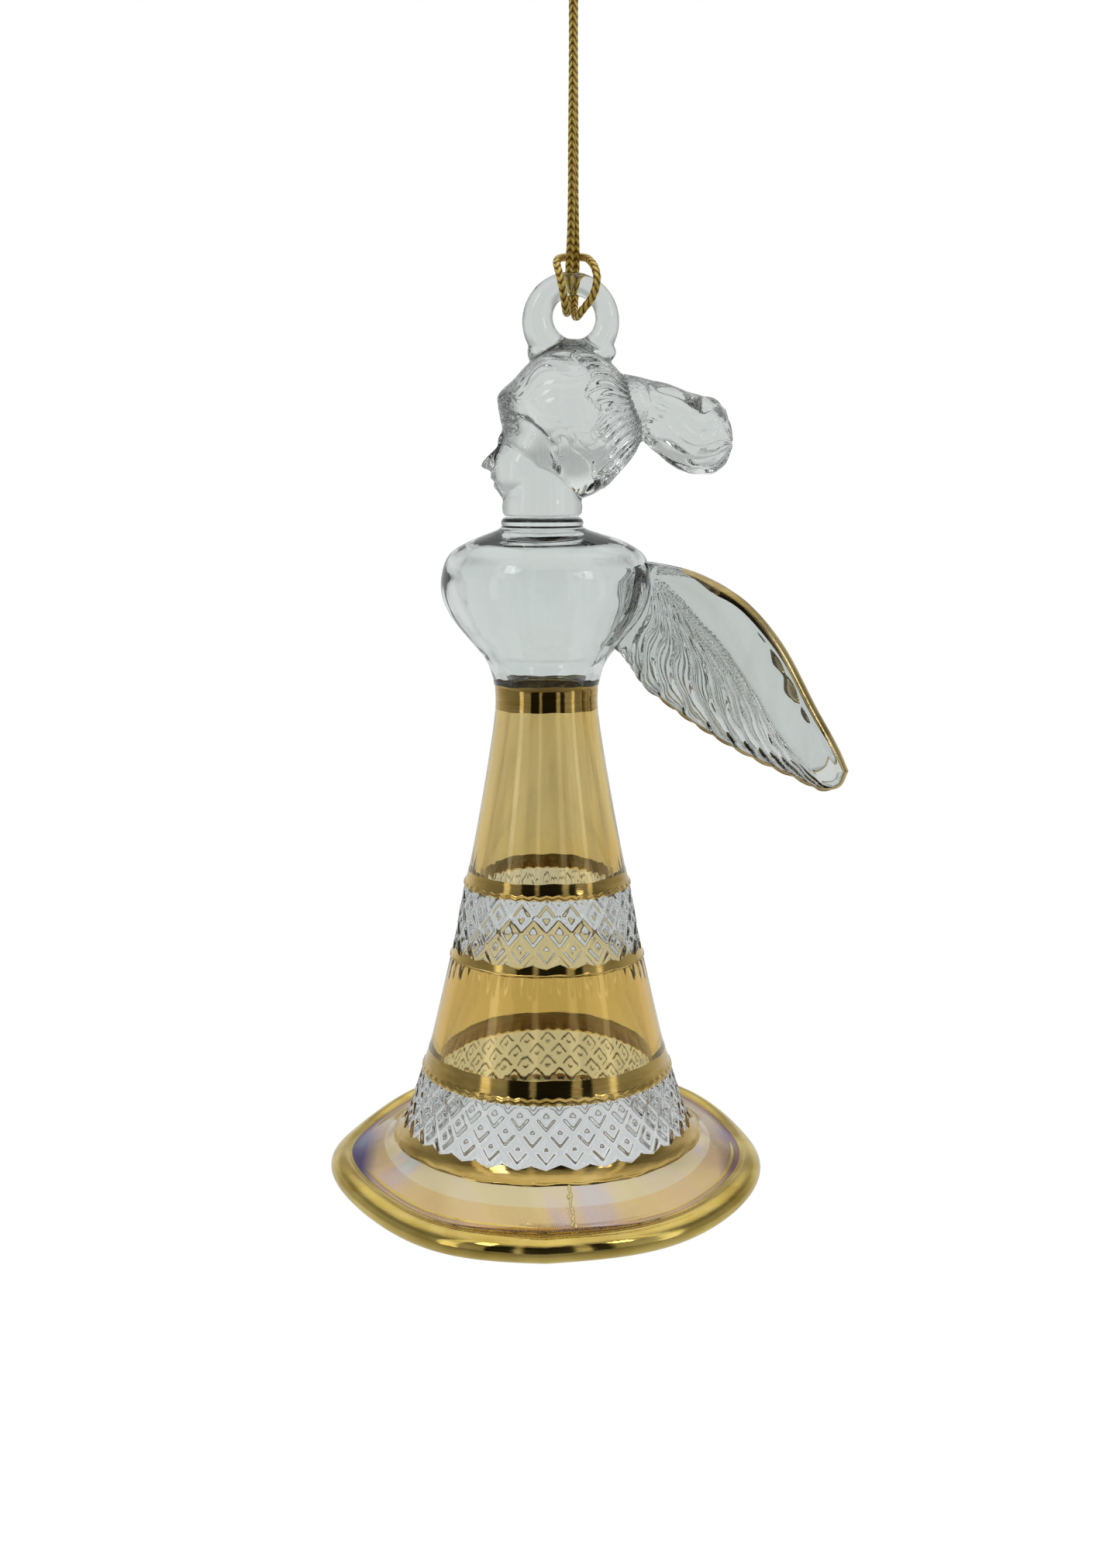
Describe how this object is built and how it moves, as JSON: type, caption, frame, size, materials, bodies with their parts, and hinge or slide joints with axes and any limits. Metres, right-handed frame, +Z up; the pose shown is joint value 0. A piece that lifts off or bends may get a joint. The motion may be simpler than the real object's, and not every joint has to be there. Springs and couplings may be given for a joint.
{
  "type": "glass bell",
  "caption": "Mouth-blown glass angel bell ornament with fired gold bands, amber lustre and diamond-cut bands, hung on a hitched gold cord",
  "frame": {"origin": "the knot at the top of the hanging cord, where whatever holds the bell takes hold of it", "axes": "+Z up along the cord; the figure looks along -X and its wings and hair trail along +X; XZ is the plane of symmetry"},
  "size_m": [0.0701, 0.0587, 0.1734],
  "materials": {
    "clear_glass": "fire-polished clear glass",
    "amber_glass": "clear glass with amber lustre between two diamond-cut bands, and a pearly lustre on the wide edge",
    "gold": "bright fired gold film",
    "gold_cord": "braided metallic thread"
  },
  "bodies": {
    "knot": {"cord_knot": "gold_cord"},
    "cord": {"cord_leg_near": "gold_cord", "cord_leg_far": "gold_cord"},
    "hitch": {"cord_hitch_near": "gold_cord", "cord_hitch_far": "gold_cord"},
    "bell": {"hanging_ring": "clear_glass", "head": "clear_glass", "ponytail": "clear_glass", "neck": "clear_glass", "torso": "clear_glass", "skirt": "amber_glass", "wing_near": "clear_glass", "wing_far": "clear_glass", "waist_gold": "gold", "band_gold_upper": "gold", "line_gold_upper": "gold", "band_gold_lower": "gold", "line_gold_lower": "gold", "rim_gold": "gold", "wing_gold_near": "gold", "wing_gold_far": "gold"}
  },
  "joints": [
    {"name": "cord_swing", "type": "hinge", "parent": "knot", "child": "cord", "pos_m": [0, 0, 0], "axis": [0, 1, 0], "range_deg": [-40, 40]},
    {"name": "cord_turn", "type": "hinge", "parent": "cord", "child": "hitch", "pos_m": [0, 0, -0.03], "axis": [0, 0, 1], "range_deg": [-180, 180]},
    {"name": "bell_rock", "type": "hinge", "parent": "hitch", "child": "bell", "pos_m": [-0.0003, 0, -0.0509], "axis": [0, 1, 0], "range_deg": [-50, 50]}
  ]
}
